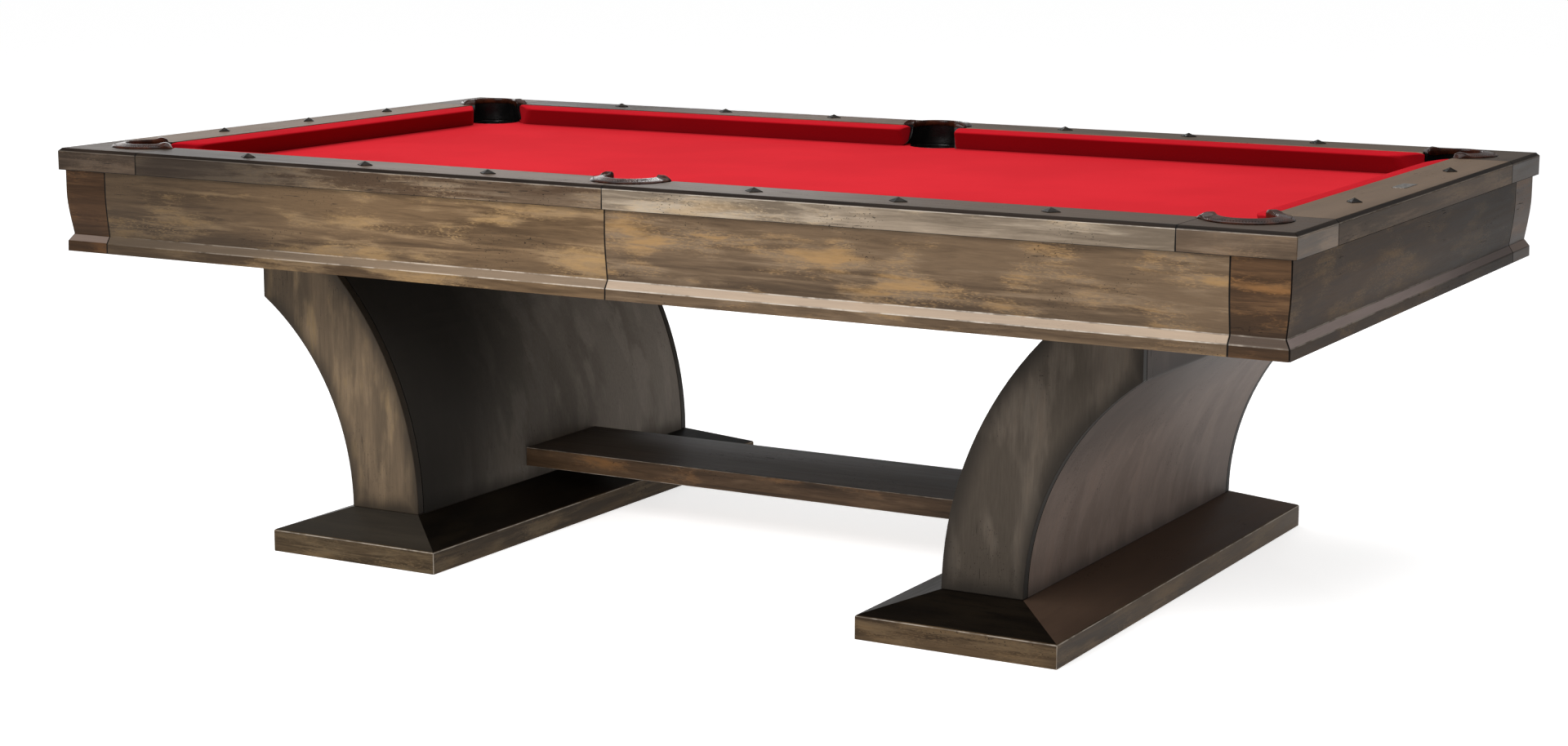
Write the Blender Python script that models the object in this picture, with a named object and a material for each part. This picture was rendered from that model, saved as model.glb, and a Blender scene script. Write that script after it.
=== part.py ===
"""Six-pocket pool table on curved trestle legs, built piece by piece in metres, +Z up.

The origin is on the floor under the middle of the table. +X runs along the table, and the front is -Y.
"""

import math

import bmesh
import bpy

MM = 0.001
GAP = 0.3 * MM  # between pieces that touch

# Playing surface, from cushion nose to cushion nose, and the rails around it.
BED_LENGTH = 2235.2 * MM
BED_WIDTH = 1117.6 * MM
RAIL_WIDTH = 158.75 * MM
NOSE_X = BED_LENGTH / 2
NOSE_Y = BED_WIDTH / 2
TOP_X = NOSE_X + RAIL_WIDTH
TOP_Y = NOSE_Y + RAIL_WIDTH
WOOD_WIDTH = 118 * MM
RAIL_TOP = 787 * MM
RAIL_CHAMFER = 6 * MM
RAIL_FOOT_RADIUS = 3 * MM
RAIL_MOUTH_OUT = 9 * MM  # how far outside the noses' corner a corner block's inner side lies
CORNER_BLOCK = 200 * MM

# Slate bed.
SLATE_TOP = 742.5 * MM
SLATE_THICKNESS = 25.4 * MM
SLATE_X = 1206.5 * MM
SLATE_Y = 647.5 * MM
SLATE_SEAM_X = 402.2 * MM
CLOTH_THICKNESS = 0.7 * MM
CLOTH_INSET = 14 * MM
CLOTH_TOP = SLATE_TOP + GAP + CLOTH_THICKNESS
RAIL_BOTTOM = CLOTH_TOP + GAP

# Cushions: how thick they are at the rail, and how far each facing swings away from the rail's own
# direction at its pocket.
NOSE_HEIGHT = 36.5 * MM
CUSHION_DEPTH = RAIL_WIDTH - WOOD_WIDTH - GAP
CUSHION_LIFT = 5 * MM
CORNER_MOUTH = 127 * MM
SIDE_MOUTH = 133 * MM
CORNER_FACING = math.radians(38)
SIDE_FACING = math.radians(76)

# Pockets. The centre lies outside the nose lines: along the diagonal at a corner, straight out at a side.
CORNER_POCKET_OUT = 45 * MM
SIDE_POCKET_OUT = 58 * MM
IRON_INNER = 48.5 * MM
IRON_OUTER = 75 * MM
IRON_TOP = 798 * MM
IRON_CROWN = [(0.0, 9), (0.12, 3.5), (0.32, 0.5), (0.5, 0), (0.75, 1.5), (0.92, 5), (1.0, 10)]
CORNER_ARM = 40 * MM
SLATE_HOLE = 60 * MM
CLOTH_HOLE = 59 * MM
BOOT_OUTER = 51.4 * MM
BOOT_WALL = 3 * MM
BOOT_BOTTOM = 612 * MM
BOOT_TAPER = 40 * MM
BOOT_HEEL = 12 * MM
ROUND_STEPS = 24

# Aprons under the rails: insets are from the rails' outer face.
APRON_BOTTOM = 582 * MM
APRON_TOP = RAIL_BOTTOM - GAP
APRON_BACK = 35 * MM
APRON_FACE = 9.4 * MM
COVE_TOP = 700 * MM
COVE_BOTTOM = 616 * MM
COVE_INSET = 18 * MM
COVE_EASE = 0.85
COVE_STEPS = 9
APRON_CHAMFER = (9 * MM, 602 * MM)
APRON_FOOT = 8.5 * MM
APRON_BLOCK_X = 1165 * MM
APRON_BLOCK_Y = 585 * MM

# Cabinet frame and leg cradles under the slate.
FRAME_TOP = SLATE_TOP - SLATE_THICKNESS - GAP
FRAME_BOTTOM = 600 * MM + GAP
FRAME_X = 1090 * MM
FRAME_Y = 560 * MM
BOARD = 38 * MM
CRADLE_INNER_X = 752 * MM
CRADLE_OUTER_X = 948 * MM
CRADLE_WALL = 30 * MM

# Legs: a hollow arc standing on each foot. Both arcs start upright at the leg's base.
LEG_Y = 505.8 * MM
LEG_BASE = 82.2 * MM
LEG_TOP = 600 * MM
LEG_INNER_X = 571 * MM
LEG_INNER_RADIUS = 670 * MM
LEG_OUTER_X = 730 * MM
LEG_OUTER_RADIUS = 495 * MM
LEG_HEAD_X = 942 * MM
LEG_PANEL = 18 * MM
LEG_STEPS = 20

# Feet, stretcher and levellers.
FOOT_X = 649.7 * MM
FOOT_HALF_WIDTH = 194.1 * MM
FOOT_HALF_LENGTH = 614.8 * MM
FOOT_EDGE = 42.6 * MM
FOOT_TOP = LEG_BASE - GAP
FOOT_LAND = 1 * MM
STRETCHER_HALF_WIDTH = 130 * MM
STRETCHER_BOTTOM = 112 * MM
STRETCHER_TOP = 151 * MM
LEVELLER_Y = 540 * MM
LEVELLER_PAD_RADIUS = 20 * MM
LEVELLER_PAD_BOTTOM = 1 * MM
LEVELLER_PAD_TOP = 9 * MM
LEVELLER_STEM_RADIUS = 6 * MM
LEVELLER_STEM_TOP = 48 * MM
RECESS_RADIUS = 23 * MM
RECESS_TOP = 12 * MM
STEM_HOLE_RADIUS = 6.3 * MM
STEM_HOLE_TOP = 50 * MM

SIDES = {"left": -1, "right": 1}
FACES = {"front": -1, "rear": 1}


def clear_scene():
    for obj in list(bpy.data.objects):
        bpy.data.objects.remove(obj)


def material(name, colour, roughness, metallic=0.0):
    made = bpy.data.materials.new(name)
    made.use_nodes = True
    shader = made.node_tree.nodes["Principled BSDF"]
    shader.inputs["Base Color"].default_value = (*colour, 1)
    shader.inputs["Roughness"].default_value = roughness
    shader.inputs["Metallic"].default_value = metallic
    return made


def make_materials():
    return {
        "rail_wood": material("rail_wood", (0.17, 0.14, 0.11), 0.5),
        "apron_wood": material("apron_wood", (0.13, 0.10, 0.08), 0.55),
        "leg_wood": material("leg_wood", (0.10, 0.08, 0.06), 0.55),
        "foot_wood": material("foot_wood", (0.06, 0.045, 0.035), 0.5),
        "frame_wood": material("frame_wood", (0.42, 0.30, 0.18), 0.7),
        "cloth": material("cloth", (0.72, 0.03, 0.04), 0.95),
        "leather": material("leather", (0.12, 0.04, 0.025), 0.3),
        "boot_leather": material("boot_leather", (0.01, 0.01, 0.01), 0.45),
        "slate": material("slate", (0.12, 0.13, 0.14), 0.6),
        "steel": material("steel", (0.45, 0.45, 0.46), 0.35, 1.0),
    }


def finish(name, mesh_data, surface, smooth_from=None):
    """Turns a bmesh into a named object, with every face pointing out."""
    bmesh.ops.recalc_face_normals(mesh_data, faces=mesh_data.faces)
    mesh = bpy.data.meshes.new(name)
    mesh_data.to_mesh(mesh)
    mesh_data.free()
    if smooth_from is not None:
        mesh.shade_smooth()
        mesh.set_sharp_from_angle(angle=smooth_from)
    obj = bpy.data.objects.new(name, mesh)
    if surface is not None:
        mesh.materials.append(surface)
    bpy.context.scene.collection.objects.link(obj)
    return obj


def arc(centre, radius, start, end, steps):
    """Points from angle start to angle end, both included."""
    angles = [start + (end - start) * i / steps for i in range(steps + 1)]
    return [(centre[0] + radius * math.cos(a), centre[1] + radius * math.sin(a)) for a in angles]


def loft(name, rings, surface, smooth_from=None):
    """A closed solid through rings of the same number of points, with both ends capped."""
    shape = bmesh.new()
    rows = [[shape.verts.new(point) for point in ring] for ring in rings]
    shape.faces.new(rows[0])
    shape.faces.new(rows[-1])
    for row, after in zip(rows, rows[1:]):
        for i in range(len(row)):
            j = (i + 1) % len(row)
            shape.faces.new((row[i], row[j], after[j], after[i]))
    return finish(name, shape, surface, smooth_from)


def plate(name, outline, bottom, top, surface, smooth_from=None):
    """An outline in X and Y, raised from bottom to top."""
    rings = [[(x, y, z) for x, y in outline] for z in (bottom, top)]
    return loft(name, rings, surface, smooth_from)


def box(name, low, high, surface):
    outline = [(low[0], low[1]), (high[0], low[1]), (high[0], high[1]), (low[0], high[1])]
    return plate(name, outline, low[2], high[2], surface)


def turned(name, profile, centre, surface, steps=ROUND_STEPS):
    """A profile of (radius, z) points spun about an upright axis. Points at radius 0 close it."""
    shape = bmesh.new()
    rows = []
    for radius, z in profile:
        if radius == 0:
            rows.append([shape.verts.new((centre[0], centre[1], z))])
            continue
        ring = arc(centre, radius, 0, math.tau, steps)[:-1]
        rows.append([shape.verts.new((x, y, z)) for x, y in ring])
    for row, after in zip(rows, rows[1:]):
        for i in range(steps):
            j = (i + 1) % steps
            if len(row) == 1:
                shape.faces.new((row[0], after[i], after[j]))
            elif len(after) == 1:
                shape.faces.new((row[i], row[j], after[0]))
            else:
                shape.faces.new((row[i], row[j], after[j], after[i]))
    return finish(name, shape, surface, math.radians(35))


def cut(target, cutter):
    change = target.modifiers.new("cut_" + cutter.name, "BOOLEAN")
    change.operation = "DIFFERENCE"
    change.solver = "EXACT"
    change.object = cutter


def as_cutter(obj):
    obj.hide_render = True
    obj.display_type = "WIRE"
    return obj


def pocket_places():
    """Name, centre, outward direction and arm length of each pocket."""
    places = []
    out = CORNER_POCKET_OUT * math.sqrt(0.5)
    for face, sy in FACES.items():
        for side, sx in SIDES.items():
            centre = (sx * (NOSE_X + out), sy * (NOSE_Y + out))
            direction = (sx * math.sqrt(0.5), sy * math.sqrt(0.5))
            places.append((f"{face}_{side}", centre, direction, CORNER_ARM))
        arm = NOSE_Y + SIDE_POCKET_OUT - (TOP_Y - WOOD_WIDTH)
        places.append((f"{face}_middle", (0.0, sy * (NOSE_Y + SIDE_POCKET_OUT)), (0.0, sy), arm))
    return places


def horseshoe(centre, direction, radius, arm, steps):
    """The open U around a pocket: an arm, the half circle on the outward side, and the other arm."""
    heading = math.atan2(direction[1], direction[0])
    bend = arc(centre, radius, heading - math.pi / 2, heading + math.pi / 2, steps)
    back = (-arm * direction[0], -arm * direction[1])
    first = (bend[0][0] + back[0], bend[0][1] + back[1])
    last = (bend[-1][0] + back[0], bend[-1][1] + back[1])
    return [first, *bend, last]


def make_pocket_notches():
    """Cutters that let each pocket iron into the rails, by pocket name."""
    notches = {}
    for name, centre, direction, arm in pocket_places():
        reach = arm + GAP if "middle" not in name else arm + BOARD
        outline = horseshoe(centre, direction, IRON_OUTER + GAP, reach, ROUND_STEPS)
        notch = plate("notch_" + name, outline, SLATE_TOP - BOARD, RAIL_TOP + BOARD, None)
        notches[name] = as_cutter(notch)
    return notches


def make_irons(surface):
    """Leather-covered pocket irons: a bar with a rounded crown, bent round the back of each pocket."""
    bottom = CLOTH_TOP + GAP
    width = IRON_OUTER - IRON_INNER
    crown = [(IRON_OUTER - share * width, IRON_TOP - drop * MM) for share, drop in IRON_CROWN]
    section = [(IRON_OUTER, bottom), *crown, (IRON_INNER, bottom)]
    for name, centre, direction, arm in pocket_places():
        paths = [horseshoe(centre, direction, radius, arm - GAP, ROUND_STEPS // 2) for radius, _ in section]
        rings = [
            [(path[i][0], path[i][1], z) for path, (_, z) in zip(paths, section)]
            for i in range(len(paths[0]))
        ]
        loft("pocket_iron_" + name, rings, surface, math.radians(35))


def make_boots(surface):
    """Leather cups hung under the irons, open at the top, that catch the balls."""
    inner = BOOT_OUTER - BOOT_WALL
    top = CLOTH_TOP
    profile = [
        (0, BOOT_BOTTOM),
        (0.72 * BOOT_OUTER, BOOT_BOTTOM),
        (0.93 * BOOT_OUTER, BOOT_BOTTOM + BOOT_HEEL),
        (BOOT_OUTER, BOOT_BOTTOM + BOOT_TAPER),
        (BOOT_OUTER, top),
        (inner, top),
        (inner, BOOT_BOTTOM + BOOT_TAPER),
        (0.93 * inner, BOOT_BOTTOM + BOOT_HEEL + BOOT_WALL),
        (0.72 * inner, BOOT_BOTTOM + BOOT_WALL),
        (0, BOOT_BOTTOM + BOOT_WALL),
    ]
    for name, centre, _, _ in pocket_places():
        turned("pocket_boot_" + name, profile, centre, surface)


def bevel_where(shape, chosen, width, segments):
    edges = [edge for edge in shape.edges if chosen(edge)]
    bmesh.ops.bevel(
        shape, geom=edges, offset=width, segments=segments, profile=0.5, affect="EDGES", clamp_overlap=True
    )


def is_outer_edge(edge, height):
    """Whether an edge lies level at this height and runs along the table's outer face."""
    ends = [vert.co for vert in edge.verts]
    along_side = all(abs(abs(p.y) - TOP_Y) < MM for p in ends)
    along_end = all(abs(abs(p.x) - TOP_X) < MM for p in ends)
    return all(abs(p.z - height) < GAP for p in ends) and (along_side or along_end)


def rail_solid(name, outline, surface):
    """A rail or corner block: an outline in plan, chamfered along its outer top edge and eased below."""
    shape = bmesh.new()
    bottom = [shape.verts.new((x, y, RAIL_BOTTOM)) for x, y in outline]
    top = [shape.verts.new((x, y, RAIL_TOP)) for x, y in outline]
    shape.faces.new(bottom)
    shape.faces.new(top)
    for i in range(len(outline)):
        j = (i + 1) % len(outline)
        shape.faces.new((bottom[i], bottom[j], top[j], top[i]))
    bmesh.ops.recalc_face_normals(shape, faces=shape.faces)
    bevel_where(shape, lambda edge: is_outer_edge(edge, RAIL_TOP), RAIL_CHAMFER, 1)
    bevel_where(shape, lambda edge: is_outer_edge(edge, RAIL_BOTTOM), RAIL_FOOT_RADIUS, 2)
    return finish(name, shape, surface, math.radians(35))


def make_rails(surface, notches):
    seam_x = TOP_X - CORNER_BLOCK
    seam_y = TOP_Y - CORNER_BLOCK
    inner_x = TOP_X - WOOD_WIDTH
    inner_y = TOP_Y - WOOD_WIDTH
    half_gap = GAP / 2
    # A block's inner side is a line across the pocket, x + y = mouth_sum, just behind the iron's arm ends.
    mouth_sum = NOSE_X + NOSE_Y + RAIL_MOUTH_OUT * math.sqrt(2)
    for face, sy in FACES.items():
        for side, sx in SIDES.items():
            outline = [
                (sx * half_gap, sy * inner_y),
                (sx * (seam_x - half_gap), sy * inner_y),
                (sx * (seam_x - half_gap), sy * TOP_Y),
                (sx * half_gap, sy * TOP_Y),
            ]
            rail = rail_solid(f"rail_{face}_{side}", outline, surface)
            cut(rail, notches[f"{face}_middle"])
            cut(rail, notches[f"{face}_{side}"])
            start_x = seam_x + half_gap
            start_y = seam_y + half_gap
            outline = [
                (sx * start_x, sy * TOP_Y),
                (sx * TOP_X, sy * TOP_Y),
                (sx * TOP_X, sy * start_y),
                (sx * (mouth_sum - start_y), sy * start_y),
                (sx * start_x, sy * (mouth_sum - start_x)),
            ]
            block = rail_solid(f"rail_corner_{face}_{side}", outline, surface)
            cut(block, notches[f"{face}_{side}"])
    for side, sx in SIDES.items():
        end = seam_y - half_gap
        outline = [(sx * inner_x, -end), (sx * TOP_X, -end), (sx * TOP_X, end), (sx * inner_x, end)]
        rail = rail_solid(f"rail_{side}_end", outline, surface)
        for face in FACES:
            cut(rail, notches[f"{face}_{side}"])


def cushion_section():
    """(distance out from the nose, z) round the cushion: back, top slope, nose and underside."""
    nose = SLATE_TOP + NOSE_HEIGHT
    bottom = SLATE_TOP + CUSHION_LIFT
    return [
        (CUSHION_DEPTH, bottom),
        (CUSHION_DEPTH, RAIL_TOP - 0.5 * MM),
        (0.25 * CUSHION_DEPTH, RAIL_TOP - 3.5 * MM),
        (0.04 * CUSHION_DEPTH, nose + 2.5 * MM),
        (0, nose),
        (0.05 * CUSHION_DEPTH, nose - 3 * MM),
        (0.55 * CUSHION_DEPTH, bottom + 9 * MM),
        (0.85 * CUSHION_DEPTH, bottom),
    ]


def cushion_end(tip, facing, way):
    """(along, out, z) round one end of a cushion, cut back from the nose tip at the facing's angle."""
    return [(way * (tip + out / math.tan(facing)), out, z) for out, z in cushion_section()]


def make_cushions(surface):
    corner_tip = CORNER_MOUTH * math.sqrt(0.5)
    for face, sy in FACES.items():
        for side, sx in SIDES.items():
            ends = [
                cushion_end(-SIDE_MOUTH / 2, SIDE_FACING, -1),
                cushion_end(NOSE_X - corner_tip, CORNER_FACING, 1),
            ]
            rings = [[(sx * along, sy * (NOSE_Y + out), z) for along, out, z in end] for end in ends]
            loft(f"cushion_{face}_{side}", rings, surface, math.radians(35))
    for side, sx in SIDES.items():
        ends = [cushion_end(NOSE_Y - corner_tip, CORNER_FACING, way) for way in (-1, 1)]
        rings = [[(sx * (NOSE_X + out), along, z) for along, out, z in end] for end in ends]
        loft(f"cushion_{side}_end", rings, surface, math.radians(35))


def bed_outline(low_x, high_x, reach_y, hole):
    """Plan of a stretch of the bed, with its share of the six pocket cuts, each open to the edge."""
    outline = []
    corner_out = CORNER_POCKET_OUT * math.sqrt(0.5)
    steps = ROUND_STEPS // 2

    def corner(sx, sy, edge_x):
        centre = (sx * (NOSE_X + corner_out), sy * (NOSE_Y + corner_out))
        offset = hole * math.sqrt(0.5)
        bend_start = (centre[0] - sx * offset, centre[1] + sy * offset)
        bend_end = (centre[0] + sx * offset, centre[1] - sy * offset)
        rise = reach_y - abs(bend_start[1])
        run = abs(edge_x) - abs(bend_end[0])
        heading = math.atan2(-sy, -sx)
        turn = sx * sy * math.pi / 2
        bend = arc(centre, hole, heading - turn, heading + turn, steps)
        on_long_side = (bend_start[0] + sx * rise, sy * reach_y)
        on_end = (edge_x, bend_end[1] + sy * run)
        return [on_long_side, *bend, on_end]

    def side(sy):
        centre_y = sy * (NOSE_Y + SIDE_POCKET_OUT)
        bend = arc((0, centre_y), hole, 0, -sy * math.pi, steps)
        return [(hole, sy * reach_y), *bend, (-hole, sy * reach_y)]

    if high_x > NOSE_X:
        outline += corner(1, -1, high_x)
        outline += corner(1, 1, high_x)[::-1]
    else:
        outline += [(high_x, -reach_y), (high_x, reach_y)]
    if low_x < 0 < high_x:
        outline += side(1)
    if low_x < -NOSE_X:
        outline += corner(-1, 1, low_x)
        outline += corner(-1, -1, low_x)[::-1]
    else:
        outline += [(low_x, reach_y), (low_x, -reach_y)]
    if low_x < 0 < high_x:
        outline += side(-1)[::-1]
    return outline


def make_bed(slate, cloth):
    bottom = SLATE_TOP - SLATE_THICKNESS
    seam = SLATE_SEAM_X
    spans = {
        "slate_left": (-SLATE_X, -seam - GAP / 2),
        "slate_middle": (-seam + GAP / 2, seam - GAP / 2),
        "slate_right": (seam + GAP / 2, SLATE_X),
    }
    for name, (low, high) in spans.items():
        plate(name, bed_outline(low, high, SLATE_Y, SLATE_HOLE), bottom, SLATE_TOP, slate)
    reach_x = SLATE_X - CLOTH_INSET
    outline = bed_outline(-reach_x, reach_x, SLATE_Y - CLOTH_INSET, CLOTH_HOLE)
    plate("bed_cloth", outline, SLATE_TOP + GAP, CLOTH_TOP, cloth)


def apron_section():
    """(inset from the rail's face, z) round the board: flat top, cove, chamfered foot and flat back."""
    cove = []
    for i in range(COVE_STEPS + 1):
        share = i / COVE_STEPS
        bow = (1 - math.cos(share * math.pi / 2)) ** COVE_EASE
        inset = APRON_FACE + (COVE_INSET - APRON_FACE) * bow
        cove.append((inset, COVE_TOP + share * (COVE_BOTTOM - COVE_TOP)))
    back = [(APRON_FOOT, APRON_BOTTOM), (APRON_BACK, APRON_BOTTOM), (APRON_BACK, APRON_TOP)]
    return [(APRON_FACE, APRON_TOP), *cove, APRON_CHAMFER, *back]


def apron_end_at_x(x, sy):
    return [(x, sy * (TOP_Y - inset), z) for inset, z in apron_section()]


def apron_end_at_y(y, sx):
    return [(sx * (TOP_X - inset), y, z) for inset, z in apron_section()]


def apron_mitre(sx, sy, slip_x=0.0, slip_y=0.0):
    section = apron_section()
    return [(sx * (TOP_X - inset - slip_x), sy * (TOP_Y - inset - slip_y), z) for inset, z in section]


def make_aprons(surface):
    """Two boards and two corner pieces on each long side, and one board on each end."""
    half_gap = GAP / 2
    smooth = math.radians(20)
    for face, sy in FACES.items():
        for side, sx in SIDES.items():
            rings = [apron_end_at_x(sx * half_gap, sy), apron_end_at_x(sx * (APRON_BLOCK_X - half_gap), sy)]
            loft(f"apron_{face}_{side}", rings, surface, smooth)
            start = apron_end_at_x(sx * (APRON_BLOCK_X + half_gap), sy)
            if face == "front":
                rings = [start, apron_mitre(sx, sy, slip_x=GAP)]
            else:
                rings = [start, apron_mitre(sx, sy), apron_end_at_y(sy * (APRON_BLOCK_Y + half_gap), sx)]
            loft(f"apron_corner_{face}_{side}", rings, surface, smooth)
    for side, sx in SIDES.items():
        rings = [apron_mitre(sx, -1, slip_y=GAP), apron_end_at_y(APRON_BLOCK_Y - half_gap, sx)]
        loft(f"apron_{side}_end", rings, surface, smooth)


def make_cabinet(surface):
    frame = box("cabinet_frame", (-FRAME_X, -FRAME_Y, FRAME_BOTTOM), (FRAME_X, FRAME_Y, FRAME_TOP), surface)
    for side, sx in SIDES.items():
        ends = sorted((sx * BOARD / 2, sx * (FRAME_X - BOARD)))
        low = (ends[0], BOARD - FRAME_Y, FRAME_BOTTOM - BOARD)
        high = (ends[1], FRAME_Y - BOARD, FRAME_TOP + BOARD)
        cut(frame, as_cutter(box("bay_" + side, low, high, None)))
        section = [
            (CRADLE_INNER_X, FRAME_BOTTOM),
            (CRADLE_OUTER_X, FRAME_BOTTOM),
            (CRADLE_OUTER_X, FRAME_TOP),
            (CRADLE_OUTER_X - CRADLE_WALL, FRAME_TOP),
            (CRADLE_OUTER_X - CRADLE_WALL, FRAME_BOTTOM + CRADLE_WALL),
            (CRADLE_INNER_X + CRADLE_WALL, FRAME_BOTTOM + CRADLE_WALL),
            (CRADLE_INNER_X + CRADLE_WALL, FRAME_TOP),
            (CRADLE_INNER_X, FRAME_TOP),
        ]
        reach = FRAME_Y - BOARD - GAP
        rings = [[(sx * x, y, z) for x, z in section] for y in (-reach, reach)]
        loft("leg_cradle_" + side, rings, surface)


def leg_curve(start_x, radius, top):
    """The (x, z) arc of a leg's face from its upright base to the height top, for the right leg."""
    centre = (start_x + radius, LEG_BASE)
    sweep = math.asin((top - LEG_BASE) / radius)
    return arc(centre, radius, math.pi, math.pi - sweep, LEG_STEPS)


def leg_outer_head():
    """Where the outer arc meets the upright face of the leg's head."""
    return LEG_BASE + math.sqrt(LEG_OUTER_RADIUS**2 - (LEG_OUTER_X + LEG_OUTER_RADIUS - LEG_HEAD_X) ** 2)


def make_legs(surface):
    head = leg_outer_head()
    inner_face = leg_curve(LEG_INNER_X, LEG_INNER_RADIUS, LEG_TOP)
    inner_back = leg_curve(LEG_INNER_X + LEG_PANEL, LEG_INNER_RADIUS - LEG_PANEL, LEG_TOP)
    outer_face = leg_curve(LEG_OUTER_X, LEG_OUTER_RADIUS, head) + [(LEG_HEAD_X, LEG_TOP)]
    back_head = head + LEG_PANEL / 2
    outer_back = leg_curve(LEG_OUTER_X - LEG_PANEL, LEG_OUTER_RADIUS + LEG_PANEL, back_head)
    outer_back.append((outer_back[-1][0], LEG_TOP))
    sections = {
        "inner_panel": inner_face + inner_back[::-1],
        "outer_panel": outer_face + outer_back[::-1],
    }
    end = LEG_Y - LEG_PANEL
    for side, sx in SIDES.items():
        for name, section in sections.items():
            reach = end - GAP
            rings = [[(sx * x, y, z) for x, z in section] for y in (-reach, reach)]
            loft(f"{side}_leg_{name}", rings, surface, math.radians(30))
        cheek = inner_face + outer_face[::-1]
        for face, sy in FACES.items():
            rings = [[(sx * x, sy * y, z) for x, z in cheek] for y in (end, LEG_Y)]
            loft(f"{side}_leg_{face}_cheek", rings, surface, math.radians(30))


def foot_ring(sx, low_x, high_x, reach_y, z):
    corners = ((low_x, -reach_y), (high_x, -reach_y), (high_x, reach_y), (low_x, reach_y))
    return [(sx * x, y, z) for x, y in corners]


def make_feet(wood, steel):
    """Two hipped plinths, with a recess and a blind hole for each leveller."""
    low_x = FOOT_X - FOOT_HALF_WIDTH
    high_x = FOOT_X + FOOT_HALF_WIDTH
    hole = [
        (0, -BOARD),
        (RECESS_RADIUS, -BOARD),
        (RECESS_RADIUS, RECESS_TOP),
        (STEM_HOLE_RADIUS, RECESS_TOP),
        (STEM_HOLE_RADIUS, STEM_HOLE_TOP),
        (0, STEM_HOLE_TOP),
    ]
    leveller = [
        (0, LEVELLER_PAD_BOTTOM),
        (LEVELLER_PAD_RADIUS - MM, LEVELLER_PAD_BOTTOM),
        (LEVELLER_PAD_RADIUS, LEVELLER_PAD_BOTTOM + MM),
        (LEVELLER_PAD_RADIUS, LEVELLER_PAD_TOP - 3 * MM),
        (LEVELLER_STEM_RADIUS + 3 * MM, LEVELLER_PAD_TOP),
        (LEVELLER_STEM_RADIUS, LEVELLER_PAD_TOP),
        (LEVELLER_STEM_RADIUS, LEVELLER_STEM_TOP),
        (0, LEVELLER_STEM_TOP),
    ]
    for side, sx in SIDES.items():
        rings = [
            foot_ring(sx, low_x, high_x, FOOT_HALF_LENGTH, 0.0),
            foot_ring(sx, low_x, high_x, FOOT_HALF_LENGTH, FOOT_EDGE),
            foot_ring(sx, LEG_INNER_X - FOOT_LAND, LEG_OUTER_X + FOOT_LAND, LEG_Y + FOOT_LAND, FOOT_TOP),
        ]
        foot = loft("foot_" + side, rings, wood)
        for face, sy in FACES.items():
            centre = (sx * FOOT_X, sy * LEVELLER_Y)
            cut(foot, as_cutter(turned(f"leveller_hole_{side}_{face}", hole, centre, None)))
            turned(f"leveller_{side}_{face}", leveller, centre, steel)


def make_stretcher(surface):
    rise = STRETCHER_BOTTOM - LEG_BASE
    lean = LEG_INNER_RADIUS - math.sqrt(LEG_INNER_RADIUS**2 - rise**2)
    reach = LEG_INNER_X + lean - GAP
    low = (-reach, -STRETCHER_HALF_WIDTH, STRETCHER_BOTTOM)
    high = (reach, STRETCHER_HALF_WIDTH, STRETCHER_TOP)
    box("stretcher", low, high, surface)


def main():
    clear_scene()
    surfaces = make_materials()
    notches = make_pocket_notches()
    make_rails(surfaces["rail_wood"], notches)
    make_cushions(surfaces["cloth"])
    make_irons(surfaces["leather"])
    make_boots(surfaces["boot_leather"])
    make_bed(surfaces["slate"], surfaces["cloth"])
    make_aprons(surfaces["apron_wood"])
    make_cabinet(surfaces["frame_wood"])
    make_legs(surfaces["leg_wood"])
    make_feet(surfaces["foot_wood"], surfaces["steel"])
    make_stretcher(surfaces["foot_wood"])


main()
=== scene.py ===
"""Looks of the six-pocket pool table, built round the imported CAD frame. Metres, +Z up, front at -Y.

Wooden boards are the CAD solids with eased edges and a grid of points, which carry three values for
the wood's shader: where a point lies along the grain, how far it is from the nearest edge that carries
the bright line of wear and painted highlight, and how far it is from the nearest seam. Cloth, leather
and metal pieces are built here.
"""

from math import copysign, cos, exp, pi, radians, sin, sqrt, tan, tau

import bmesh
import bpy
import numpy as np
from mathutils import Matrix, Vector


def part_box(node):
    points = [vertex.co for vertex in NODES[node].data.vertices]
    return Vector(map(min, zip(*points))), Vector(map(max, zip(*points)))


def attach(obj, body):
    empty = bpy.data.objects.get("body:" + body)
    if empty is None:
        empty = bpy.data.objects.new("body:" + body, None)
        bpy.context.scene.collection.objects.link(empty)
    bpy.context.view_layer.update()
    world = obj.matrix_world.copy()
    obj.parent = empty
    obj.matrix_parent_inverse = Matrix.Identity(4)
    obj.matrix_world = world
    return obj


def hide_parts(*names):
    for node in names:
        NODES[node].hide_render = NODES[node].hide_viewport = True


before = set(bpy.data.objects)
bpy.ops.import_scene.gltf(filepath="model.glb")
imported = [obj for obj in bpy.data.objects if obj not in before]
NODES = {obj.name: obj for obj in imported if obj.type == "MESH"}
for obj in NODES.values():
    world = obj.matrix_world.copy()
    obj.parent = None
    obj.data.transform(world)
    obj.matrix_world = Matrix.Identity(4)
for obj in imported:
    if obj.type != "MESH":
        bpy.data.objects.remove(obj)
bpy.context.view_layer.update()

MM = 0.001
BODY = "table"
SIDES = {"left": -1, "right": 1}
FACES = {"front": -1, "rear": 1}
POCKETS = [f"{face}_{place}" for face in FACES for place in ("left", "middle", "right")]
CORNERS = [(face, side, sx, sy) for face, sy in FACES.items() for side, sx in SIDES.items()]
SHARP = radians(24)  # faces that meet at more than this have an edge between them
FLAT = radians(0.6)  # faces that meet at less than this are one flat face
WELD = 0.02 * MM
RIM = 4 * MM  # the width of the ring of faces inside a sharp edge
CHAMFER_ZONE = 8 * MM  # the rails' dark chamfer lies within this depth of their top
IRON_BAR = 26.5 * MM  # the width of a pocket iron
CORNER_ARM = 39.7 * MM  # how far the arms of a corner cover reach past the pocket's centre

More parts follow.
